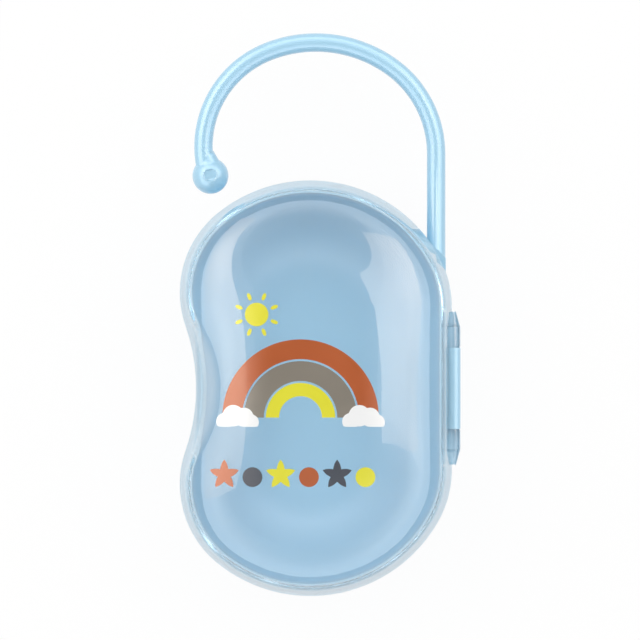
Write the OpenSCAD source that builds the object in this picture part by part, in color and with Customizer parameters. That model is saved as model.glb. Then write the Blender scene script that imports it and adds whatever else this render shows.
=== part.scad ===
// Double soother case: a bean-shaped shell with a carry hook, and a clear domed lid on a side hinge.
// Millimetres. The case lies on its flat back: +Z points out of the lid, +Y towards the hook,
// +X towards the hinge. The origin is the middle of the back's resting face.

/* [Case outline] */
// Width from the waist side's lobes to the hinge side
case_w = 72; // [70:1:78]
// Length of the case without its hook
case_l = 110; // [98:1:132]
// How far the radius of the outline round each end passes half the width
end_over = 3; // [2:0.5:6]
// Sideways place of the end arcs' centres, towards the waist
end_x = -1.5; // [-3:0.5:-1]
// How far the radius at the two lobes beside the waist falls short of half the width
lobe_under = 9; // [8:0.5:10]
// How far the radius at the hinge side's two corners falls short of half the width
corner_under = 8; // [5:0.5:10]
// Depth of the waist below the lobes
waist_depth = 4.3; // [3:0.1:6]

/* [Shell] */
// Height of the shell, from its resting face to the parting plane
shell_h = 26; // [22:0.5:32]
// Wall of the shell
shell_wall = 1.8; // [1.2:0.1:2.2]
// Radius of the edge round the resting face
shell_round = 12; // [8:0.5:13]
// Draft of the shell's side
shell_draft = 3; // [1:0.5:5]
// Height of the locating lip above the parting plane
lip_h = 2.2; // [1.6:0.1:3]
// Thickness of the locating lip
lip_t = 1; // [0.8:0.1:1.4]
// Clearance between the lip and the lid
lip_gap = 0.25; // [0.2:0.05:0.4]
// How far the snap bead stands out of the lip
bead_out = 0.2; // [0.1:0.05:0.2]

/* [Lid] */
// Height of the lid above the parting plane
lid_h = 22; // [20:0.5:27]
// Wall of the lid
lid_wall = 1.4; // [1.1:0.1:1.8]
// Draft of the lid's side
lid_draft = 10; // [6:1:12]
// Radius of the lid's shoulder
lid_round = 11; // [9:0.5:13]
// Slope of the dome where the crown meets the shoulder
crown_slope = 30; // [24:1:34]
// Distance from the outline to the level top of the crown
crown_reach = 25; // [24:0.5:25]
// Width of the thumb scoop, as the radius of its cone at the rim
scoop_r = 28; // [22:1:34]
// Slope of the thumb scoop off the vertical
scoop_slope = 18; // [14:1:22]

/* [Hinge] */
// Radius of the hinge barrel
barrel_r = 1.9; // [1.7:0.1:2.4]
// How far the hinge axis lies outside the case's side
barrel_out = 0.4; // [0.3:0.1:0.8]
// Length of the shell's knuckle
knuckle_l = 21.5; // [16:0.5:24]
// Length of each of the lid's knuckles
lid_knuckle_l = 5.2; // [4:0.1:6]
// Length of the cone that fairs each end of the barrel
fairing_l = 4.3; // [3:0.1:6]
// Radius of the trunnions
trunnion_r = 1; // [0.8:0.05:1.1]
// Length of the trunnions
trunnion_l = 3; // [2:0.1:4]
// Running clearance round and past the trunnions
pin_gap = 0.05; // [0.03:0.01:0.08]
// Clearance round the barrel and between its knuckles
barrel_gap = 0.25; // [0.2:0.05:0.4]

// How far the cradle under the barrel stands out past the hinge axis
cradle_out = 1.6; // [1.2:0.1:1.8]
// Depth of the cradle's foot below the hinge axis
cradle_h = 9; // [7:0.5:11]

/* [Hook] */
// Height of the hook's crown above the end of the case
hook_rise = 39.2; // [34:0.2:48]
// How far the outer radius over the crown passes half the case's width
crown_over = 1; // [0:0.1:2]
// How far the outer radius on the side of the arm falls short of the crown's
arm_under = 6.1; // [4:0.1:8]
// How far the outer radius on the side of the ball falls short of the crown's
tip_under = 7.4; // [5:0.1:9]
// Outer edge of the arm, in from the hinge side of the case
arm_inset = 1.6; // [1:0.1:2.4]
// Outer edge of the tip side, in from the line of the lobes
tip_inset = 3.7; // [2:0.1:5]
// Width of the rod as seen from the front
rod_w = 4.9; // [4:0.1:6]
// Thickness of the rod from front to back
rod_t = 6.4; // [5:0.1:8]
// Depth of the rod's middle below the parting plane
rod_drop = 6.7; // [5:0.1:9]
// Turn of the tip side, from level to the ball
tip_turn = 17; // [10:1:24]
// Radius of the ball
ball_r = 4.8; // [4:0.1:6]
// Radius of the dimple in the ball's front
dimple_r = 1.6; // [1:0.1:2]
// Depth of the dimple
dimple_depth = 0.5; // [0.3:0.1:1]

/* [Hidden] */
$fn = 96;
eps = 0.02;
// Profiles run this far in, past every arc's centre
fill = case_w;

function hundredths(angle) = round(angle * 100) / 100;
function along(from, distance, angle) = from + distance * [cos(angle), sin(angle)];

// The outline's arcs, each tangent to the next: the turn at each joint, then the next arc's centre
end_r = case_w / 2 + end_over;
lobe_r = case_w / 2 - lobe_under;
corner_r = case_w / 2 - corner_under;
end_c = [end_x, case_l / 2 - end_r];
corner_turn = hundredths(acos((case_w / 2 - corner_r - end_x) / (end_r - corner_r)));
corner_c = along(end_c, end_r - corner_r, corner_turn);
lobe_start = hundredths(acos((lobe_r - case_w / 2 - end_x) / (end_r - lobe_r)));
lobe_c = along(end_c, end_r - lobe_r, lobe_start);
waist_turn = hundredths(2 * atan(waist_depth / lobe_c[1]));
waist_c = [lobe_c[0] - lobe_c[1] / tan(waist_turn), 0];
waist_r = lobe_c[1] / sin(waist_turn) - lobe_r;
waist_edge = waist_c[0] + waist_r;

// Shell profile: height of its flank
shell_flank = shell_h + eps - shell_round * (1 - sin(shell_draft));

// Lid profile: the flank's height follows from the lid's height and the dome's slope
crown_gain = tan(crown_slope / 2);
lid_turned = lid_round * (cos(lid_draft) - sin(crown_slope));
lid_flank = (lid_h + eps + lid_round * (sin(lid_draft) - cos(crown_slope))
    - crown_gain * (crown_reach - lid_turned)) / (1 - crown_gain * tan(lid_draft));
crown_start = lid_flank * tan(lid_draft) + lid_turned;
crown_r = (crown_reach - crown_start) / sin(crown_slope);

// Locating lip: its outer foot clears the lid's inner face, and its root reaches into the shell's wall
lip_foot = lid_wall / cos(lid_draft) + lip_gap;
lip_root = 2.5;
lip_bite = shell_wall / 2;
bead_z = 1.2;
bead_r = 0.5;
bead_turn = 11;

// Scoop and hinge places: the scoop's cone stays this far outside the waist at the rim
scoop_back = 0.3;
scoop_x = waist_edge - scoop_back - scoop_r;
hinge_x = case_w / 2 + barrel_out;
knuckle_half = knuckle_l / 2;
barrel_half = knuckle_half + barrel_gap + lid_knuckle_l;
fairing_tip = 0.6;
cradle_root = case_w / 2 - 1;
cradle_top = shell_h - 0.3;
cradle_tip = barrel_half + fairing_l - 0.3;

// Hook arcs, from the arm over the crown to the tip, placed as the outline's are
hook_crown_r = case_w / 2 + crown_over;
hook_arm_r = hook_crown_r - arm_under;
hook_tip_r = hook_crown_r - tip_under;
hook_arm_x = case_w / 2 - arm_inset;
hook_tip_x = tip_inset - case_w / 2;
hook_c = [0, case_l / 2 + hook_rise - hook_crown_r];
rod_z = shell_h - rod_drop;
arm_turn = hundredths(acos((hook_arm_x - hook_arm_r) / (hook_crown_r - hook_arm_r)));
arm_c = along(hook_c, hook_crown_r - hook_arm_r, arm_turn);
tip_start = hundredths(acos((hook_tip_x + hook_tip_r) / (hook_crown_r - hook_tip_r)));
tip_c = along(hook_c, hook_crown_r - hook_tip_r, tip_start);
ball_in = 0.7;
neck_l = 6.4;

// Root pad, between the arm and the shell: its free face is a diagonal just inside the end arc
arm_foot = corner_c[1] + 4;
pad_top = shell_h - 0.4;
pad_bottom = rod_z - rod_t / 2 - 4.1;
pad_x = hook_arm_x - rod_w;
pad_inset = 0.54;
pad_diagonal = end_c[0] + end_c[1] + sqrt(2) * (end_r - pad_inset);

// Moves in a coarse and a fine step, which keeps more digits, so that tangent sweeps meet exactly
module place(x, y = 0) {
    coarse = [round(x), round(y)];
    translate(coarse) translate([x, y] - coarse) children();
}

// ---- Sweeps round the outline. Children are a profile: x is the inset from the outline, y the height ----

// The profile as far in as depth, so that a sweep stops short of its own centre, which the core fills
module as_deep_as(depth) {
    intersection() {
        children();
        translate([0, -lid_h]) square([depth, 3 * lid_h]);
    }
}

// A profile swept round a convex arc
module arc_sweep(centre, r, from, to) {
    place(centre[0], centre[1]) rotate_extrude(start = from, angle = to - from)
        translate([r, 0]) mirror([1, 0]) as_deep_as(r - eps) children();
}

// A profile swept round the hollow arc of the waist
module waist_sweep(half_turn) {
    place(waist_c[0]) rotate_extrude(start = -half_turn, angle = 2 * half_turn)
        place(waist_r) as_deep_as(lobe_r) children();
}

module hook_corner_sweep() {
    arc_sweep(corner_c, corner_r, 0, corner_turn) children();
    arc_sweep(end_c, end_r, corner_turn, lobe_start) children();
}

module outline_sweep() {
    for (side = [0, 1]) mirror([0, side, 0]) {
        hook_corner_sweep() children();
        arc_sweep(lobe_c, lobe_r, lobe_start, 180 + waist_turn) children();
        place(corner_c[0] + corner_r, corner_c[1]) rotate([90, 0, 0])
            linear_extrude(corner_c[1] + 1) mirror([1, 0]) as_deep_as(corner_r + 1) children();
    }
    waist_sweep(waist_turn) children();
}

// The middle of the case, where every profile is level, lapping into each sweep
module core(height) {
    corner_in = corner_c + [1, 1];
    end_in = end_c + [0, 3];
    lobe_in = lobe_c + [-0.7, 0.7];
    linear_extrude(height) difference() {
        polygon([
            corner_in, end_in, lobe_in,
            [lobe_in[0], -lobe_in[1]], [end_in[0], -end_in[1]], [corner_in[0], -corner_in[1]],
        ]);
        translate(waist_c) circle(waist_r + crown_reach + 0.3);
    }
}

// ---- Profiles ----

// Under a drafted flank and the round above it, t inside the outer face
module flank_profile(flank, draft, r, t) {
    knee = [flank * tan(draft) + t * cos(draft), flank - t * sin(draft)];
    translate([flank * tan(draft) + r * cos(draft), flank - r * sin(draft)]) circle(r - t);
    polygon([[t / cos(draft), 0], knee, [fill, knee[1]], [fill, 0]]);
}

module shell_profile(t) {
    intersection() {
        union() {
            flank_profile(shell_flank, shell_draft, shell_round, t);
            translate([shell_flank * tan(shell_draft) + shell_round * cos(shell_draft), 0])
                square([fill, shell_h]);
        }
        square([fill, shell_h - t]);
    }
}

module lid_profile(t) {
    intersection() {
        union() {
            flank_profile(lid_flank, lid_draft, lid_round, t);
            intersection() {
                translate([crown_reach, lid_h + eps - crown_r]) circle(crown_r - t);
                translate([crown_start + t * sin(crown_slope), 0]) square([fill, lid_h]);
            }
            translate([crown_reach, 0]) square([fill, lid_h]);
        }
        square([fill, lid_h - t]);
    }
}

module shell_form(t) {
    translate([0, 0, shell_h]) mirror([0, 0, 1]) {
        outline_sweep() shell_profile(t);
        core(shell_h - t);
    }
}

module lid_form(t) {
    difference() {
        union() {
            outline_sweep() lid_profile(t);
            core(lid_h - t);
        }
        scoop(t);
    }
}

// Cone that hollows the lid's flank at the waist, as a hold for the thumb
module scoop(t) {
    r = scoop_r + t / cos(scoop_slope);
    translate([scoop_x, 0, 0]) cylinder(h = lid_h, r1 = r, r2 = r + lid_h * tan(scoop_slope));
}

// ---- Hinge shapes, along the axis ----

module on_hinge_axis() {
    translate([hinge_x, 0, shell_h]) rotate([-90, 0, 0]) children();
}

// One end of the barrel: a lid knuckle and its cone
module barrel_end(grow) {
    from = knuckle_half + barrel_gap;
    translate([0, 0, from - grow]) cylinder(h = barrel_half - from + grow, r = barrel_r + grow);
    translate([0, 0, barrel_half - eps])
        cylinder(h = fairing_l + grow + eps, r1 = barrel_r + grow, r2 = fairing_tip + grow);
}

// ---- The shell: tray, locating lip, snap bead, hinge knuckle and the cradle under the barrel ----

module locating_lip() {
    lean = tan(lid_draft);
    translate([0, 0, shell_h]) outline_sweep() polygon([
        [lip_bite, -eps],
        [lip_foot, -eps],
        [lip_foot, 0],
        [lip_foot + lip_h * lean, lip_h],
        [lip_foot + lip_h * lean + lip_t, lip_h],
        [lip_foot + lip_t, -lip_root],
        [lip_bite, -lip_root - lip_foot - lip_t + lip_bite],
    ]);
}

module snap_bead() {
    face = lip_foot + bead_z * tan(lid_draft);
    translate([0, 0, shell_h + bead_z]) waist_sweep(bead_turn)
        translate([face + bead_r - bead_out, 0]) circle(bead_r, $fn = 32);
}

// Bracket on the shell's side, as long as the barrel and faired as it is, with a slanted underside
module hinge_cradle() {
    out = hinge_x + cradle_out;
    intersection() {
        translate([0, 0, shell_h - cradle_h]) linear_extrude(cradle_top - shell_h + cradle_h) polygon([
            [cradle_root, cradle_tip], [hinge_x + fairing_tip, cradle_tip], [out, barrel_half],
            [out, -barrel_half], [hinge_x + fairing_tip, -cradle_tip], [cradle_root, -cradle_tip],
        ]);
        translate([0, cradle_tip + 1, 0]) rotate([90, 0, 0]) linear_extrude(2 * cradle_tip + 2) polygon([
            [cradle_root, shell_h - cradle_h], [out, shell_h - cradle_h / 2],
            [out, cradle_top], [cradle_root, cradle_top],
        ]);
    }
}

module rear_shell() {
    color("#a9d3ee") difference() {
        union() {
            difference() {
                shell_form(0);
                translate([0, 0, eps]) shell_form(shell_wall);
            }
            locating_lip();
            snap_bead();
            on_hinge_axis() cylinder(h = knuckle_l, r = barrel_r, center = true);
            hinge_cradle();
        }
        for (side = [0, 1]) mirror([0, side, 0]) on_hinge_axis() {
            barrel_end(barrel_gap);
            translate([0, 0, knuckle_half - trunnion_l - 0.3])
                cylinder(h = trunnion_l + 0.3 + eps, r = trunnion_r + pin_gap);
        }
    }
}

// ---- The lid: dome with its scoop, snap groove and a seat for the shell's knuckle ----

module snap_groove() {
    face = lid_wall / cos(lid_draft) + bead_z * tan(lid_draft);
    translate([0, 0, shell_h + bead_z]) waist_sweep(bead_turn + 0.5)
        translate([face + bead_r - bead_out, 0]) circle(bead_r + 0.1, $fn = 32);
}

module clear_lid() {
    color("#d6ecf7", 0.45) difference() {
        translate([0, 0, shell_h]) difference() {
            lid_form(0);
            translate([0, 0, -eps]) lid_form(lid_wall);
        }
        snap_groove();
        on_hinge_axis() cylinder(h = knuckle_l + 2 * barrel_gap, r = barrel_r + barrel_gap, center = true);
        for (side = [0, 1]) mirror([0, side, 0]) on_hinge_axis() barrel_end(0);
    }
}

// ---- The lid's two hinge knuckles, each with a trunnion that turns in the shell's knuckle ----

module lid_hinge() {
    color("#cfe4ef") for (side = [0, 1]) mirror([0, side, 0]) on_hinge_axis() {
        barrel_end(0);
        translate([0, 0, knuckle_half - trunnion_l]) cylinder(h = trunnion_l + barrel_gap + 1, r = trunnion_r);
    }
}

// ---- The hook: a C-shaped rod on a root pad, with a ball at its free end ----

module rod_section() {
    side_r = rod_w / 2;
    for (end = [-1, 1]) translate([-side_r, end * (rod_t / 2 - side_r)]) circle(side_r, $fn = 48);
    translate([-rod_w, side_r - rod_t / 2]) square([rod_w, rod_t - rod_w]);
}

module rod_arc(centre, r, from, to) {
    place(centre[0], centre[1]) rotate_extrude(start = from, angle = to - from) translate([r, 0]) rod_section();
}

module hook_rod() {
    rod_arc(arm_c, hook_arm_r, 0, arm_turn);
    rod_arc(hook_c, hook_crown_r, arm_turn, tip_start);
    rod_arc(tip_c, hook_tip_r, tip_start, 180 + tip_turn);
    place(arm_c[0] + hook_arm_r, arm_c[1]) rotate([90, 0, 0]) linear_extrude(arm_c[1] - arm_foot) rod_section();
}

module at_ball() {
    ball_c = along(tip_c, hook_tip_r - rod_w / 2 - ball_in, 180 + tip_turn);
    translate(ball_c) children();
}

module root_pad() {
    translate([0, 0, pad_bottom]) linear_extrude(pad_top - pad_bottom) polygon([
        [pad_x, arm_foot],
        [hook_arm_x, arm_foot],
        [hook_arm_x, pad_diagonal - hook_arm_x],
        [pad_x, pad_diagonal - pad_x],
    ]);
}

module carry_hook() {
    color("#a9d3ee") difference() {
        union() {
            translate([0, 0, rod_z]) {
                hook_rod();
                at_ball() rotate([0, 0, tip_turn - 6]) rotate([-82, 0, 0]) {
                    sphere(ball_r);
                    cylinder(h = neck_l, r1 = ball_r * 0.9, r2 = rod_w * 0.42);
                }
            }
            root_pad();
        }
        translate([0, 0, shell_h]) mirror([0, 0, 1]) hook_corner_sweep() shell_profile(0);
        at_ball() translate([0, 0, rod_z + ball_r - dimple_depth]) cylinder(h = ball_r, r = dimple_r);
    }
}

rear_shell();
carry_hook();
clear_lid();
lid_hinge();
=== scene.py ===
"""Looks of the double soother case: glossy blue tray and hook, and a clear domed lid with a small printed scene.

Shapes are worked out in millimetres, as the construction gives them, and brought to metres when a piece is made.
"""
import math

import bmesh
import bpy
from mathutils import Matrix, Vector


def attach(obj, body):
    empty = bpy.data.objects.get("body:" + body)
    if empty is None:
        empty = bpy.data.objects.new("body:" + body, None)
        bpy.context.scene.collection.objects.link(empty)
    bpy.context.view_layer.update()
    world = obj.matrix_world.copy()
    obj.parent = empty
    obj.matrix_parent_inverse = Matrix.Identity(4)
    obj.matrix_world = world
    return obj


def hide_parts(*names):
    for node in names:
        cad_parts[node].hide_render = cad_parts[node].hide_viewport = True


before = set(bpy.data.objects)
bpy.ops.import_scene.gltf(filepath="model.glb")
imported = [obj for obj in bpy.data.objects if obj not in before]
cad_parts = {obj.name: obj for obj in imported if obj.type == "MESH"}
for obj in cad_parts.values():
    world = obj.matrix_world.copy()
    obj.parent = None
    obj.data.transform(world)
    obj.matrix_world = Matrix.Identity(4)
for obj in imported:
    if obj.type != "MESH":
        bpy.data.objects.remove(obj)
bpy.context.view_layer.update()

# ---- Sizes of the case, in millimetres and degrees ----

MM = 0.001
PARTING = 26.0
CASE_HALF_W = 36.0

# The outline's arcs touch each other: two ends, two corners at the hinge, two lobes and the waist between them
END_X, END_Y, END_R = -1.5, 16.0, 39.0
CORNER_R, CORNER_TURN = 28.0, 30.27
LOBE_R, LOBE_START = 27.0, 128.68
WAIST_TURN = 19.24
CORNER_X = END_X + (END_R - CORNER_R) * math.cos(math.radians(CORNER_TURN))
CORNER_Y = END_Y + (END_R - CORNER_R) * math.sin(math.radians(CORNER_TURN))
LOBE_X = END_X + (END_R - LOBE_R) * math.cos(math.radians(LOBE_START))
LOBE_Y = END_Y + (END_R - LOBE_R) * math.sin(math.radians(LOBE_START))
WAIST_X = LOBE_X - LOBE_Y / math.tan(math.radians(WAIST_TURN))
WAIST_R = LOBE_Y / math.sin(math.radians(WAIST_TURN)) - LOBE_R

LID_H, LID_WALL, LID_DRAFT = 22.0, 1.4, math.radians(10)
SHOULDER_R, CROWN_SLOPE, CROWN_REACH = 11.0, math.radians(30), 25.0
BOW_R = 300.0
SCOOP_R, SCOOP_SLOPE = 28.0, math.radians(18)
SCOOP_BACK = 0.3
SCOOP_X = WAIST_X + WAIST_R - SCOOP_R - SCOOP_BACK
BLEND, SCOOP_BLEND = 0.8, 3.2
BOW_FROM, BOW_FULL = 4.0, 20.0
# Angles may miss their arc by this many degrees, and places their side by this many millimetres
SLACK = 0.02
# The lid's lower edge stays this far above the parting plane, clear of the tray
RIM_LIFT = 0.06

HINGE_X = 36.4
KNUCKLE_HALF, BARREL_R, BARREL_GAP = 10.75, 1.9, 0.25
BARREL_END, FAIRING_END, FAIRING_R = 16.2, 20.5, 0.6
TRUNNION_R, TRUNNION_FROM, TRUNNION_IN = 1.0, 7.75, 1.0
# The knuckle starts this far past its seat's end, so that the two end faces don't lie in one plane
KNUCKLE_CLEAR = 0.01

crown_gain = math.tan(CROWN_SLOPE / 2)
shoulder_turned = SHOULDER_R * (math.cos(LID_DRAFT) - math.sin(CROWN_SLOPE))
LID_FLANK = (
    LID_H + SHOULDER_R * (math.sin(LID_DRAFT) - math.cos(CROWN_SLOPE))
    - crown_gain * (CROWN_REACH - shoulder_turned)
) / (1 - crown_gain * math.tan(LID_DRAFT))
CROWN_START = LID_FLANK * math.tan(LID_DRAFT) + shoulder_turned
CROWN_R = (CROWN_REACH - CROWN_START) / math.sin(CROWN_SLOPE)

# ---- Fineness of the meshes, in millimetres, degrees and counts ----

FLANK_ROW, SHOULDER_ROW, CROWN_ROW = 0.14, 0.25, 0.75
SHOULDER_ROWS_END, CROWN_ROWS_END = 8.5, CROWN_REACH - 0.9
MIDDLE_FROM = CROWN_REACH - 5
MIDDLE_HALF_X, MIDDLE_HALF_Y, MIDDLE_SQUARE = 20, 40, 1.5
INK_SQUARE = 1.0
STRAIGHT_STRIPS, BAR_SEGMENTS, BAND_STEPS = 22, 48, 60
# Heights at which the tray's long facets are cut across, the last one just under its rim
TRAY_LEVELS = (14, 17, 20, 23, 25.2, 25.9)
SMOOTH_BELOW, COPY_SMOOTH_BELOW = 35.0, 30.0


def outline_arcs():
    """The outline from the hinge side round by the hook end, each arc as the notes above give it."""
    upper = [
        (CORNER_X, CORNER_Y, CORNER_R, 0.0, CORNER_TURN, False, 16),
        (END_X, END_Y, END_R, CORNER_TURN, LOBE_START, False, 56),
        (LOBE_X, LOBE_Y, LOBE_R, LOBE_START, 180 + WAIST_TURN, False, 40),
    ]
    lower = [(x, -y, r, 360 - last, 360 - first, out, n) for x, y, r, first, last, out, n in reversed(upper)]
    return upper + [(WAIST_X, 0.0, WAIST_R, WAIST_TURN, -WAIST_TURN, True, 44)] + lower


# ---- The lid's surface ----

def insets(x, y):
    """How far a place lies inside the outline, and inside the same outline with its waist filled in."""
    y = abs(y)
    corner = math.degrees(math.atan2(y - CORNER_Y, x - CORNER_X))
    end = math.degrees(math.atan2(y - END_Y, x - END_X))
    lobe = math.degrees(math.atan2(y - LOBE_Y, x - LOBE_X)) % 360
    waist = math.degrees(math.atan2(y, x - WAIST_X))
    found = []
    if y <= CORNER_Y:
        found.append(CASE_HALF_W - x)
    if -SLACK <= corner <= CORNER_TURN + SLACK:
        found.append(CORNER_R - math.hypot(x - CORNER_X, y - CORNER_Y))
    if CORNER_TURN - SLACK <= end <= LOBE_START + SLACK:
        found.append(END_R - math.hypot(x - END_X, y - END_Y))
    if LOBE_START - SLACK <= lobe <= 180 + SLACK:
        found.append(LOBE_R - math.hypot(x - LOBE_X, y - LOBE_Y))
    filled = min(found + [x + CASE_HALF_W] * (y <= LOBE_Y + SLACK), default=CROWN_REACH)
    if 180 - SLACK <= lobe <= 180 + WAIST_TURN + SLACK:
        found.append(LOBE_R - math.hypot(x - LOBE_X, y - LOBE_Y))
    if waist <= WAIST_TURN + SLACK:
        found.append(math.hypot(x - WAIST_X, y) - WAIST_R)
    return min(found, default=CROWN_REACH), filled


def profile_height(inset, wall):
    """Height of the flank, the shoulder or the crown over the parting plane, wall inside the outer face."""
    shoulder_in = LID_FLANK * math.tan(LID_DRAFT) + SHOULDER_R * math.cos(LID_DRAFT)
    shoulder_up = LID_FLANK - SHOULDER_R * math.sin(LID_DRAFT)
    knee = shoulder_in - (SHOULDER_R - wall) * math.cos(LID_DRAFT)
    crown_from = CROWN_START + wall * math.sin(CROWN_SLOPE)
    if inset <= knee:
        return (inset - wall / math.cos(LID_DRAFT)) / math.tan(LID_DRAFT)
    if inset <= crown_from:
        return shoulder_up + math.sqrt((SHOULDER_R - wall) ** 2 - (shoulder_in - inset) ** 2)
    away = CROWN_REACH - min(inset, CROWN_REACH)
    return LID_H - CROWN_R + math.sqrt((CROWN_R - wall) ** 2 - away**2)


def eased(value, low, high):
    """Goes smoothly from 0 at the low end to 1 at the high end."""
    share = min(max((value - low) / (high - low), 0.0), 1.0)
    return share * share * (3 - 2 * share)


def blended_low(a, b, width):
    """The lower of two heights, rounded where they cross."""
    if width <= 0:
        return min(a, b)
    share = max(width - abs(a - b), 0.0) / width
    return min(a, b) - share * share * width / 4


def lid_height(x, y, wall=0.0):
    """Height of the lid's outer face over the parting plane, or of a face wall inside it."""
    inset, filled = insets(x, y)
    flank = (inset - wall / math.cos(LID_DRAFT)) / math.tan(LID_DRAFT)
    dome = profile_height(filled, wall) - eased(filled, BOW_FROM, BOW_FULL) * y * y / (2 * BOW_R)
    height = blended_low(flank, dome, BLEND * eased(filled - inset, 0, 2))
    scoop = (math.hypot(x - SCOOP_X, y) - SCOOP_R - wall / math.cos(SCOOP_SLOPE)) / math.tan(SCOOP_SLOPE)
    return blended_low(height, scoop, SCOOP_BLEND * eased(inset, 0, 3))


# ---- Mesh helpers ----

def carried_round(bm, profile):
    """Sweeps an open profile of insets and heights round the outline, closed on itself."""
    for x, y, radius, first, last, outside, steps in outline_arcs():
        turn = math.radians(first)
        line = []
        for inset, height in profile:
            reach = radius + inset if outside else radius - inset
            line.append(bm.verts.new((x + reach * math.cos(turn), y + reach * math.sin(turn), height)))
        edges = [bm.edges.new(pair) for pair in zip(line, line[1:])]
        bmesh.ops.spin(
            bm, geom=line + edges, cent=(x, y, 0), axis=(0, 0, 1),
            angle=math.radians(last - first), steps=steps, use_duplicate=False,
        )
    line = [bm.verts.new((CASE_HALF_W - inset, -CORNER_Y, height)) for inset, height in profile]
    edges = [bm.edges.new(pair) for pair in zip(line, line[1:])]
    for _ in range(STRAIGHT_STRIPS):
        grown = bmesh.ops.extrude_edge_only(bm, edges=edges)["geom"]
        line = [part for part in grown if isinstance(part, bmesh.types.BMVert)]
        edges = [part for part in grown if isinstance(part, bmesh.types.BMEdge)]
        bmesh.ops.translate(bm, vec=(0, 2 * CORNER_Y / STRAIGHT_STRIPS, 0), verts=line)
    bmesh.ops.remove_doubles(bm, verts=bm.verts, dist=0.01)


def diced(bm, faces, size, lo, hi):
    """Cuts flat faces along a square grid, so that they can follow a curved surface."""
    parts = list(faces)
    for axis in (0, 1):
        normal = Vector((1, 0, 0)) if axis == 0 else Vector((0, 1, 0))
        place = math.ceil(lo[axis] / size) * size
        while place < hi[axis]:
            geom = parts + list({e for f in parts for e in f.edges}) + list({v for f in parts for v in f.verts})
            cut = bmesh.ops.bisect_plane(bm, geom=geom, dist=1e-5, plane_co=normal * place, plane_no=normal)
            parts = [part for part in cut["geom"] if isinstance(part, bmesh.types.BMFace)]
            place += size
    return parts


def piece_from(bm, name, material, smooth_below=SMOOTH_BELOW):
    """Makes the object of a finished mesh, brought to metres and shaded smooth up to that angle."""
    bmesh.ops.scale(bm, vec=(MM, MM, MM), verts=bm.verts)
    mesh = bpy.data.meshes.new(name)
    bm.to_mesh(mesh)
    bm.free()
    mesh.shade_smooth()
    mesh.set_sharp_from_angle(angle=math.radians(smooth_below))
    made = bpy.data.objects.new(name, mesh)
    bpy.context.scene.collection.objects.link(made)
    mesh.materials.append(material)
    return made


def shaped_by(body, cutter, operation):
    """Joins or cuts the body with another closed mesh, which is used up."""
    change = body.modifiers.new("shaping", "BOOLEAN")
    change.operation, change.object, change.solver = operation, cutter, "MANIFOLD"
    bpy.context.view_layer.update()
    ready = body.evaluated_get(bpy.context.evaluated_depsgraph_get())
    mesh = bpy.data.meshes.new_from_object(ready)
    body.modifiers.remove(change)
    old, body.data = body.data, mesh
    bpy.data.meshes.remove(old)
    bpy.data.objects.remove(cutter)


def merged_copy(node, name, material, levels=()):
    """A copy of a constructed node with its loose triangles joined, so that it shades smoothly.

    Long facets are cut across at the given levels, which keeps a rim's shading out of the wall under it.
    """
    bm = bmesh.new()
    bm.from_mesh(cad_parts[node].data)
    bmesh.ops.remove_doubles(bm, verts=bm.verts, dist=1e-6)
    bmesh.ops.scale(bm, vec=(1 / MM, 1 / MM, 1 / MM), verts=bm.verts)
    for level in levels:
        geom = bm.verts[:] + bm.edges[:] + bm.faces[:]
        bmesh.ops.bisect_plane(bm, geom=geom, dist=1e-4, plane_co=(0, 0, level), plane_no=(0, 0, 1))
    made = piece_from(bm, name, material, COPY_SMOOTH_BELOW)
    weighted = made.modifiers.new("even normals", "WEIGHTED_NORMAL")
    weighted.keep_sharp = True
    return made


# ---- Materials ----

def add_node(tree, kind, **values):
    """Adds a node and sets its properties, or its inputs where it has no property of that name."""
    made = tree.nodes.new(kind)
    for name, value in values.items():
        if hasattr(made, name):
            setattr(made, name, value)
        else:
            made.inputs[name.replace("_", " ")].default_value = value
    return made


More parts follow.
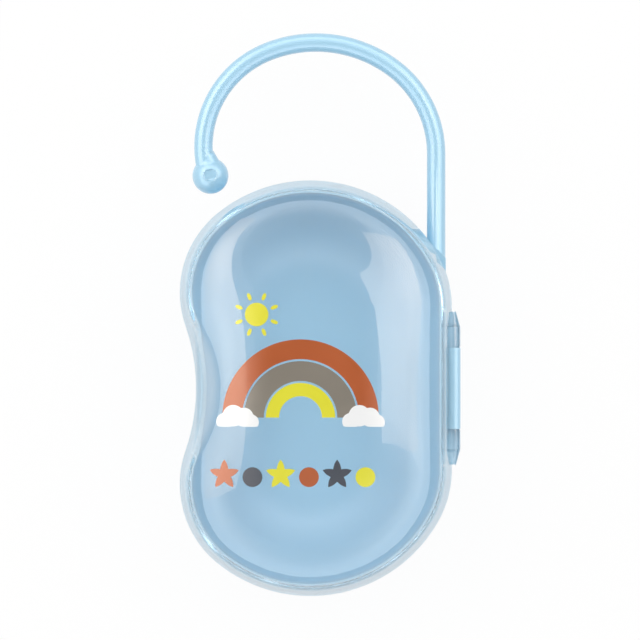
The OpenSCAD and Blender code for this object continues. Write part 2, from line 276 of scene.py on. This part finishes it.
def moulding_group():
    """Fine surface of a moulded plastic: flow shading, a low ripple, and edges rubbed pale and dull."""
    group = bpy.data.node_groups.new("moulding", "ShaderNodeTree")
    for name, kind, value in (
        ("Colour", "NodeSocketColor", (0.8, 0.8, 0.8, 1)),
        ("Flow Colour", "NodeSocketColor", (0.7, 0.7, 0.7, 1)),
        ("Flow Scale", "NodeSocketFloat", 18.0),
        ("Ripple Scale", "NodeSocketFloat", 160.0),
        ("Ripple", "NodeSocketFloat", 0.02),
        ("Smoothest", "NodeSocketFloat", 0.2),
        ("Roughest", "NodeSocketFloat", 0.3),
        ("Wear", "NodeSocketFloat", 0.1),
    ):
        group.interface.new_socket(name, in_out="INPUT", socket_type=kind).default_value = value
    group.interface.new_socket("Colour", in_out="OUTPUT", socket_type="NodeSocketColor")
    group.interface.new_socket("Roughness", in_out="OUTPUT", socket_type="NodeSocketFloat")
    group.interface.new_socket("Normal", in_out="OUTPUT", socket_type="NodeSocketVector")
    link = group.links.new
    start, end = group.nodes.new("NodeGroupInput"), group.nodes.new("NodeGroupOutput")
    place = group.nodes.new("ShaderNodeTexCoord")
    flow = add_node(group, "ShaderNodeTexNoise", Detail=3.0, Roughness=0.5, Distortion=0.6)
    ripple = add_node(group, "ShaderNodeTexNoise", Detail=1.0, Roughness=0.4)
    link(place.outputs["Object"], flow.inputs["Vector"])
    link(place.outputs["Object"], ripple.inputs["Vector"])
    link(start.outputs["Flow Scale"], flow.inputs["Scale"])
    link(start.outputs["Ripple Scale"], ripple.inputs["Scale"])
    drift = add_node(group, "ShaderNodeMapRange", interpolation_type="SMOOTHSTEP", From_Min=0.25, From_Max=0.75)
    link(flow.outputs["Fac"], drift.inputs["Value"])
    tone = group.nodes.new("ShaderNodeMix")
    tone.data_type = "RGBA"
    link(drift.outputs["Result"], tone.inputs["Factor"])
    link(start.outputs["Colour"], tone.inputs["A"])
    link(start.outputs["Flow Colour"], tone.inputs["B"])
    shape = group.nodes.new("ShaderNodeNewGeometry")
    rounded = add_node(group, "ShaderNodeBevel", samples=4, Radius=0.0004)
    turned = add_node(group, "ShaderNodeVectorMath", operation="DOT_PRODUCT")
    link(shape.outputs["Normal"], turned.inputs[0])
    link(rounded.outputs["Normal"], turned.inputs[1])
    edge = add_node(group, "ShaderNodeMapRange", interpolation_type="SMOOTHSTEP", From_Min=0.99, From_Max=0.88)
    link(turned.outputs["Value"], edge.inputs["Value"])
    rubbed = add_node(group, "ShaderNodeMath", operation="MULTIPLY")
    link(edge.outputs["Result"], rubbed.inputs[0])
    link(start.outputs["Wear"], rubbed.inputs[1])
    paler = group.nodes.new("ShaderNodeMix")
    paler.data_type = "RGBA"
    paler.inputs["B"].default_value = (0.85, 0.87, 0.89, 1)
    link(rubbed.outputs[0], paler.inputs["Factor"])
    link(tone.outputs["Result"], paler.inputs["A"])
    link(paler.outputs["Result"], end.inputs["Colour"])
    finish = add_node(group, "ShaderNodeMapRange", interpolation_type="SMOOTHSTEP", From_Min=0.25, From_Max=0.75)
    link(ripple.outputs["Fac"], finish.inputs["Value"])
    link(start.outputs["Smoothest"], finish.inputs["To Min"])
    link(start.outputs["Roughest"], finish.inputs["To Max"])
    duller = add_node(group, "ShaderNodeMath", operation="ADD")
    link(finish.outputs["Result"], duller.inputs[0])
    link(rubbed.outputs[0], duller.inputs[1])
    link(duller.outputs[0], end.inputs["Roughness"])
    bump = add_node(group, "ShaderNodeBump", Distance=0.0004)
    link(start.outputs["Ripple"], bump.inputs["Strength"])
    link(ripple.outputs["Fac"], bump.inputs["Height"])
    link(bump.outputs["Normal"], end.inputs["Normal"])
    return group


MOULDING = moulding_group()
CLEAR_TINT = (0.925, 0.94, 0.952)


def moulded(name, colour, flow_colour, values, sockets):
    """A material whose colour, roughness and normal come from the moulding group, with its shader's own sockets."""
    made = bpy.data.materials.new(name)
    made.use_nodes = True
    tree = made.node_tree
    shader = tree.nodes["Principled BSDF"]
    surface = tree.nodes.new("ShaderNodeGroup")
    surface.node_tree = MOULDING
    surface.inputs["Colour"].default_value = (*colour, 1)
    surface.inputs["Flow Colour"].default_value = (*flow_colour, 1)
    for socket, value in values.items():
        surface.inputs[socket].default_value = value
    for given, taken in (("Colour", "Base Color"), ("Roughness", "Roughness"), ("Normal", "Normal")):
        tree.links.new(surface.outputs[given], shader.inputs[taken])
    for socket, value in sockets.items():
        shader.inputs[socket].default_value = value
    return made


def plastic(name, colour, flow_colour, ripple, finish, flow_scale=18.0, wear=0.1):
    """An opaque moulded plastic."""
    values = {"Flow Scale": flow_scale, "Ripple": ripple, "Smoothest": finish[0], "Roughest": finish[1], "Wear": wear}
    sockets = {"IOR": 1.5, "Coat Weight": 0.55, "Coat Roughness": 0.12}
    return moulded(name, colour, flow_colour, values, sockets)


def clear_plastic():
    """Clear moulded plastic that lets lamps through to what it covers.

    Its own index is low, which keeps dark lines out of the steep wall. The coat gives it the plastic's gloss.
    """
    values = {
        "Flow Scale": 9.0, "Ripple Scale": 60.0, "Ripple": 0.01,
        "Smoothest": 0.01, "Roughest": 0.05, "Wear": 0.0,
    }
    sockets = {
        "Transmission Weight": 1.0, "IOR": 1.02,
        "Coat Weight": 1.0, "Coat Roughness": 0.02, "Coat IOR": 1.5,
    }
    made = moulded("clear_plastic", CLEAR_TINT, (0.915, 0.935, 0.947), values, sockets)
    tree = made.node_tree
    shader = tree.nodes["Principled BSDF"]
    through = tree.nodes.new("ShaderNodeBsdfTransparent")
    through.inputs["Color"].default_value = (*CLEAR_TINT, 1)
    path, which = tree.nodes.new("ShaderNodeLightPath"), tree.nodes.new("ShaderNodeMixShader")
    tree.links.new(path.outputs["Is Shadow Ray"], which.inputs["Fac"])
    tree.links.new(shader.outputs["BSDF"], which.inputs[1])
    tree.links.new(through.outputs["BSDF"], which.inputs[2])
    tree.links.new(which.outputs["Shader"], tree.nodes["Material Output"].inputs["Surface"])
    return made


BLUE = plastic("blue_plastic", (0.35, 0.595, 0.77), (0.34, 0.585, 0.76), ripple=0.005, finish=(0.3, 0.38))
CLEAR = clear_plastic()

# ---- The lid, with its hinge ends moulded on ----

def lid_insets(wall):
    """Rows of the lid's mesh, as distances inside the outline: close on the flank and the shoulder."""
    start, flank_in = wall / math.cos(LID_DRAFT), LID_FLANK * math.tan(LID_DRAFT)
    rows = [start + FLANK_ROW * i for i in range(int(flank_in / FLANK_ROW) + 1)]
    while rows[-1] < SHOULDER_ROWS_END:
        rows.append(rows[-1] + SHOULDER_ROW)
    while rows[-1] < CROWN_ROWS_END:
        rows.append(rows[-1] + CROWN_ROW)
    return rows


def lid_skin(bm, wall):
    """One face of the lid's wall: swept flat round the outline, its middle diced, then raised to the dome."""
    carried_round(bm, [(inset, 0.0) for inset in lid_insets(wall)])
    inner = [e for e in bm.edges if e.is_boundary and insets(*e.verts[0].co.xy)[0] > MIDDLE_FROM]
    middle = bmesh.ops.contextual_create(bm, geom=inner)["faces"]
    middle = bmesh.ops.triangulate(bm, faces=middle)["faces"]
    diced(bm, middle, MIDDLE_SQUARE, (-MIDDLE_HALF_X, -MIDDLE_HALF_Y), (MIDDLE_HALF_X, MIDDLE_HALF_Y))
    for vert in bm.verts:
        vert.co.z = PARTING + max(lid_height(vert.co.x, vert.co.y, wall), RIM_LIFT)


def clear_lid():
    """The lid's wall without its hinge ends: two skins bridged at the rim."""
    outer, inner = bmesh.new(), bmesh.new()
    lid_skin(outer, 0.0)
    lid_skin(inner, LID_WALL)
    bmesh.ops.recalc_face_normals(outer, faces=outer.faces)
    bmesh.ops.recalc_face_normals(inner, faces=inner.faces)
    skin = bpy.data.meshes.new("inner_skin")
    inner.to_mesh(skin)
    inner.free()
    outer.from_mesh(skin)
    bpy.data.meshes.remove(skin)
    rims = [e for e in outer.edges if e.is_boundary]
    bmesh.ops.bridge_loops(outer, edges=rims)
    bmesh.ops.recalc_face_normals(outer, faces=outer.faces)
    return piece_from(outer, "clear_lid_shell", CLEAR)


def hinge_bar(profile):
    """A round bar on the hinge axis, closed at both ends, from places along it and its radius at each."""
    bm = bmesh.new()
    profile = [(profile[0][0], 0.0), *profile, (profile[-1][0], 0.0)]
    line = [bm.verts.new((HINGE_X + radius, along, PARTING)) for along, radius in profile]
    edges = [bm.edges.new(pair) for pair in zip(line, line[1:])]
    bmesh.ops.spin(
        bm, geom=line + edges, cent=(HINGE_X, 0, PARTING), axis=(0, 1, 0),
        angle=math.tau, steps=BAR_SEGMENTS, use_merge=True, use_duplicate=False)
    bmesh.ops.remove_doubles(bm, verts=bm.verts, dist=1e-4)
    bmesh.ops.recalc_face_normals(bm, faces=bm.faces)
    return bm


lid = clear_lid()
seat_half, seat_r = KNUCKLE_HALF + BARREL_GAP, BARREL_R + BARREL_GAP
shaped_by(lid, piece_from(hinge_bar([(-seat_half, seat_r), (seat_half, seat_r)]), "seat", CLEAR), "DIFFERENCE")
for side in (1, -1):
    knuckle = [(seat_half + KNUCKLE_CLEAR, BARREL_R), (BARREL_END, BARREL_R), (FAIRING_END, FAIRING_R)]
    trunnion = [(TRUNNION_FROM, TRUNNION_R), (KNUCKLE_HALF + TRUNNION_IN, TRUNNION_R)]
    for profile in (knuckle, trunnion):
        bar = hinge_bar([(side * along, radius) for along, radius in profile])
        shaped_by(lid, piece_from(bar, "hinge_end", CLEAR), "UNION")
lid.data.shade_smooth()
lid.data.set_sharp_from_angle(angle=math.radians(SMOOTH_BELOW))
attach(lid, "case_lid")
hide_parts("clear_lid", "lid_hinge")

# ---- The tray and its hook ----

tray = merged_copy("rear_shell", "blue_tray", BLUE, levels=TRAY_LEVELS)
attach(tray, "case_shell")
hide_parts("rear_shell")
hook = merged_copy("carry_hook", "blue_hook", BLUE)
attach(hook, "case_shell")
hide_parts("carry_hook")

# ---- The printed scene on the lid: a rainbow between clouds, a sun, and a row of stars and dots ----

INKS = {
    "clay_ink": ((0.36, 0.078, 0.014), (0.35, 0.073, 0.012)),
    "grey_ink": ((0.19, 0.17, 0.14), (0.18, 0.163, 0.135)),
    "slate_ink": ((0.03, 0.036, 0.05), (0.027, 0.033, 0.047)),
    "lemon_ink": ((0.66, 0.63, 0.02), (0.64, 0.615, 0.018)),
    "white_ink": ((0.80, 0.81, 0.82), (0.785, 0.80, 0.81)),
}
inks = {
    name: plastic(name, *tones, ripple=0.004, finish=(0.3, 0.35), flow_scale=60.0, wear=0.05)
    for name, tones in INKS.items()
}
INK_GAP, INK_THICK = 0.02, 0.03


def printed(name, ink, draw, layer=0):
    """A thin layer of ink in a drawn flat shape, laid on the dome."""
    bm = bmesh.new()
    draw(bm)
    lo = [min(v.co[i] for v in bm.verts) for i in (0, 1)]
    hi = [max(v.co[i] for v in bm.verts) for i in (0, 1)]
    diced(bm, bm.faces[:], INK_SQUARE, lo, hi)
    for vert in bm.verts:
        vert.co.z = PARTING + lid_height(vert.co.x, vert.co.y) + INK_GAP + layer * INK_THICK
    bmesh.ops.recalc_face_normals(bm, faces=bm.faces)
    if sum(face.normal.z for face in bm.faces) < 0:
        bmesh.ops.reverse_faces(bm, faces=bm.faces)
    bmesh.ops.solidify(bm, geom=bm.faces[:], thickness=-INK_THICK)
    bmesh.ops.recalc_face_normals(bm, faces=bm.faces)
    made = piece_from(bm, name, inks[ink])
    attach(made, "case_lid")


def arch(centre, outer, inner):
    """Draws the upper half of a ring."""
    def draw(bm):
        ends = [bm.verts.new((centre[0] + radius, centre[1], 0)) for radius in (outer, inner)]
        edge = bm.edges.new(ends)
        bmesh.ops.spin(
            bm, geom=ends + [edge], cent=(*centre, 0), axis=(0, 0, 1),
            angle=math.pi, steps=BAND_STEPS, use_duplicate=False)
    return draw


def disc(centre, radius, segments=48, pull=lambda turn: 1.0):
    """Draws a round shape, with its radius pulled in or out as the turn goes."""
    def draw(bm):
        rim = bmesh.ops.create_circle(bm, cap_ends=True, segments=segments, radius=radius)["verts"]
        for vert in rim:
            share = pull(math.atan2(vert.co.y, vert.co.x))
            vert.co = Vector((centre[0] + vert.co.x * share, centre[1] + vert.co.y * share, 0))
    return draw


STAR_HOLLOW = 0.46


def star_pull(turn):
    """Five points, the first one up."""
    half_point = 36
    step = abs(((math.degrees(turn) - 90) % (2 * half_point)) - half_point) / half_point
    return STAR_HOLLOW + (1 - STAR_HOLLOW) * step**1.35


def cloud_pull(turn):
    """The outline of four puffs, from the middle of the cloud."""
    puffs = ((-3.4, -0.5, 2.2), (-1.1, 1.0, 2.8), (1.7, 0.6, 2.5), (3.6, -0.7, 2.0))
    far = 0.0
    for x, y, r in puffs:
        along = x * math.cos(turn) + y * math.sin(turn)
        aside = r * r - (x * math.sin(turn) - y * math.cos(turn)) ** 2
        if aside > 0:
            far = max(far, along + math.sqrt(aside))
    floor = -1.9 / math.sin(turn) if math.sin(turn) < -0.05 else far
    return min(far, floor)


RAINBOW, SUN = (-4.0, -7.5), (-15.5, 19.5)
SUN_R, RAYS, RAY_AWAY, RAY_R = 3.1, 8, 5.0, 1.1
ROW_X, ROW_Y, ROW_PITCH, ROW_SWAY = -24.0, -22.5, 7.4, 0.6
STAR_R, DOT_R = 4.0, 2.6
printed("rainbow_clay", "clay_ink", arch(RAINBOW, 20.5, 15.3))
printed("rainbow_grey", "grey_ink", arch(RAINBOW, 14.8, 9.6))
printed("rainbow_lemon", "lemon_ink", arch(RAINBOW, 9.1, 5.6))
for name, x, y in (("cloud_left", -20.5, -8.0), ("cloud_right", 12.5, -8.0)):
    printed(name, "white_ink", disc((x, y), 1.0, 96, cloud_pull), layer=1)
printed("sun", "lemon_ink", disc(SUN, SUN_R))
for i in range(RAYS):
    turn = math.tau * (i + 0.5) / RAYS
    printed("sun_ray_%d" % i, "lemon_ink", disc(
        (SUN[0] + RAY_AWAY * math.cos(turn), SUN[1] + RAY_AWAY * math.sin(turn)), RAY_R, 24,
        lambda t, turn=turn: 1.0 - 0.55 * abs(math.sin(t - turn))))
for i, (ink, star) in enumerate((
    ("clay_ink", True), ("slate_ink", False), ("lemon_ink", True),
    ("clay_ink", False), ("slate_ink", True), ("lemon_ink", False),
)):
    x, y = ROW_X + ROW_PITCH * i, ROW_Y - (ROW_SWAY if i % 2 else 0)
    if star:
        printed("star_%d" % i, ink, disc((x, y), STAR_R, 80, star_pull))
    else:
        printed("dot_%d" % i, ink, disc((x, y), DOT_R))

# ---- Floor, lamps, surroundings and camera ----

FLOOR_HALF, FLOOR_UNDER = 4000, 0.05
FLOOR_GLOW, SURROUND_DIM = 0.92, 0.85


def pale(tree):
    """1 for rays that should find the surroundings plain white: seen straight, mirrored or through the lid."""
    path = tree.nodes.new("ShaderNodeLightPath")
    most = path.outputs["Is Camera Ray"]
    for name in ("Is Glossy Ray", "Is Transmission Ray"):
        larger = add_node(tree, "ShaderNodeMath", operation="MAXIMUM")
        tree.links.new(most, larger.inputs[0])
        tree.links.new(path.outputs[name], larger.inputs[1])
        most = larger.outputs[0]
    return most


def floor_material():
    """A dull pale floor that looks nearly white to the rays that pale() finds."""
    made = bpy.data.materials.new("pale_floor")
    made.use_nodes = True
    tree = made.node_tree
    shader = tree.nodes["Principled BSDF"]
    shader.inputs["Base Color"].default_value = (0.9, 0.9, 0.9, 1)
    shader.inputs["Roughness"].default_value = 0.9
    shader.inputs["Specular IOR Level"].default_value = 0.0
    glow = add_node(tree, "ShaderNodeEmission", Strength=1.0)
    share = add_node(tree, "ShaderNodeMath", operation="MULTIPLY")
    share.inputs[1].default_value = FLOOR_GLOW
    which = tree.nodes.new("ShaderNodeMixShader")
    tree.links.new(pale(tree), share.inputs[0])
    tree.links.new(share.outputs[0], which.inputs["Fac"])
    tree.links.new(shader.outputs["BSDF"], which.inputs[1])
    tree.links.new(glow.outputs["Emission"], which.inputs[2])
    tree.links.new(which.outputs["Shader"], tree.nodes["Material Output"].inputs["Surface"])
    return made


floor_bm = bmesh.new()
bmesh.ops.create_grid(floor_bm, x_segments=1, y_segments=1, size=FLOOR_HALF)
bmesh.ops.translate(floor_bm, vec=(0, 0, -FLOOR_UNDER), verts=floor_bm.verts)
piece_from(floor_bm, "floor", floor_material())

world = bpy.data.worlds.new("studio")
bpy.context.scene.world = world
world.use_nodes = True
surround = world.node_tree.nodes["Background"]
surround.inputs["Color"].default_value = (1, 1, 1, 1)
level = add_node(world.node_tree, "ShaderNodeMapRange", To_Min=SURROUND_DIM, To_Max=1.0)
world.node_tree.links.new(pale(world.node_tree), level.inputs["Value"])
world.node_tree.links.new(level.outputs["Result"], surround.inputs["Strength"])

# In metres
LAMP_AWAY, LAMP_AIM = 1.5, Vector((0, 0, 0.045))
LAMP_COLOUR, WARM = (1.0, 0.96, 0.9), (1.0, 0.87, 0.76)
RIGHT_LEAN, LEFT_LEAN = 35.0, -55.0


def leaning(lean):
    """Turns a plane that looks straight down so that it leans that many degrees towards the hinge side."""
    return Matrix.Rotation(math.radians(lean), 4, "Y")


def softbox(name, lean, edges, radiance):
    """A soft lamp that lights the case without showing in it.

    Its edges are given on its own plane as shares of its distance: down from the top, then towards the hook.
    """
    low_u, high_u, low_v, high_v = edges
    place = leaning(lean) @ Vector(((low_u + high_u) / 2, (low_v + high_v) / 2, 1.0))
    lamp = bpy.data.lights.new(name, "AREA")
    lamp.shape = "RECTANGLE"
    lamp.size, lamp.size_y = (high_u - low_u) * LAMP_AWAY, (high_v - low_v) * LAMP_AWAY
    lamp.energy = radiance * math.pi * lamp.size * lamp.size_y
    lamp.color = LAMP_COLOUR
    made = bpy.data.objects.new(name, lamp)
    bpy.context.scene.collection.objects.link(made)
    made.matrix_world = Matrix.Translation(LAMP_AIM + place * LAMP_AWAY) @ leaning(lean)
    made.visible_camera = made.visible_glossy = False


def mirrored_board(name, lean, corners, spot, levels, reach, colour=(1, 1, 1), away=LAMP_AWAY):
    """A board that only glossy faces show.

    Its corners and its spot are places on its own plane, as a softbox's edges are. Its strength goes from the first
    level at the spot to the second one at the reach from it.
    """
    made = bpy.data.materials.new(name)
    made.use_nodes = True
    made.cycles.emission_sampling = "NONE"
    tree = made.node_tree
    tree.nodes.remove(tree.nodes["Principled BSDF"])
    place = tree.nodes.new("ShaderNodeTexCoord")
    far = add_node(tree, "ShaderNodeVectorMath", operation="DISTANCE")
    far.inputs[1].default_value = LAMP_AIM + leaning(lean) @ Vector((*spot, 1.0)) * away
    level = add_node(
        tree, "ShaderNodeMapRange", interpolation_type="SMOOTHSTEP",
        From_Max=reach * away, To_Min=levels[0], To_Max=levels[1])
    glow = add_node(tree, "ShaderNodeEmission")
    glow.inputs["Color"].default_value = (*colour, 1)
    tree.links.new(place.outputs["Object"], far.inputs[0])
    tree.links.new(far.outputs["Value"], level.inputs["Value"])
    tree.links.new(level.outputs["Result"], glow.inputs["Strength"])
    tree.links.new(glow.outputs["Emission"], tree.nodes["Material Output"].inputs["Surface"])
    bm = bmesh.new()
    rim = [bm.verts.new((LAMP_AIM + leaning(lean) @ Vector((u, v, 1.0)) * away) / MM) for u, v in corners]
    edges = [bm.edges.new(pair) for pair in zip(rim, rim[1:] + rim[:1])]
    bmesh.ops.contextual_create(bm, geom=edges)
    board = piece_from(bm, name, made)
    board.visible_camera = board.visible_diffuse = board.visible_transmission = board.visible_shadow = False


softbox("right_light", RIGHT_LEAN, (-0.30, 0.42, -0.066, 1.12), radiance=1.0)
softbox("left_light", LEFT_LEAN, (-0.75, 0.76, -0.115, 1.4), radiance=0.8)
mirrored_board(
    "right_board", RIGHT_LEAN,
    [
        (-0.26, -0.12), (-0.25, 0.02), (-0.50, 0.34), (-0.62, 0.46),
        (0.21, 0.78), (0.20, 0.40), (0.32, 0.0), (0.28, -0.05),
    ],
    spot=(0.15, 0.42), levels=(9.0, 4.5), reach=0.7, colour=WARM)
mirrored_board(
    "left_board", LEFT_LEAN,
    [
        (0.77, -0.22), (0.78, 0.22), (1.22, 0.62), (0.76, 0.93),
        (0.32, 1.23), (-0.30, 1.58), (-0.12, 0.2), (-0.08, -0.2),
    ],
    spot=(0.35, 0.45), levels=(9.0, 5.2), reach=0.6, colour=WARM)
mirrored_board(
    "dark_ceiling", 0.0, [(-3, -3), (3, -3), (3, 3), (-3, 3)],
    spot=(0.0, 0.05), levels=(0.1, 4.5), reach=1.2, away=1.6)

# The picture is square, and this is its scale in the parting plane
PICTURE_PIXELS, MM_PER_PIXEL = 640, 0.26472
PICTURE_WIDTH = MM_PER_PIXEL * MM * PICTURE_PIXELS
CAMERA_X, CAMERA_Y, CAMERA_UP = 1.10, 18.06, 2.0
SENSOR = 36.0
lens = bpy.data.cameras.new("camera")
lens.sensor_width = SENSOR
lens.lens = SENSOR * (CAMERA_UP - PARTING * MM) / PICTURE_WIDTH
lens.clip_end = 20.0
camera = bpy.data.objects.new("camera", lens)
bpy.context.scene.collection.objects.link(camera)
camera.location = (CAMERA_X * MM, CAMERA_Y * MM, CAMERA_UP)
bpy.context.scene.camera = camera
bpy.context.scene.view_settings.view_transform = "Standard"
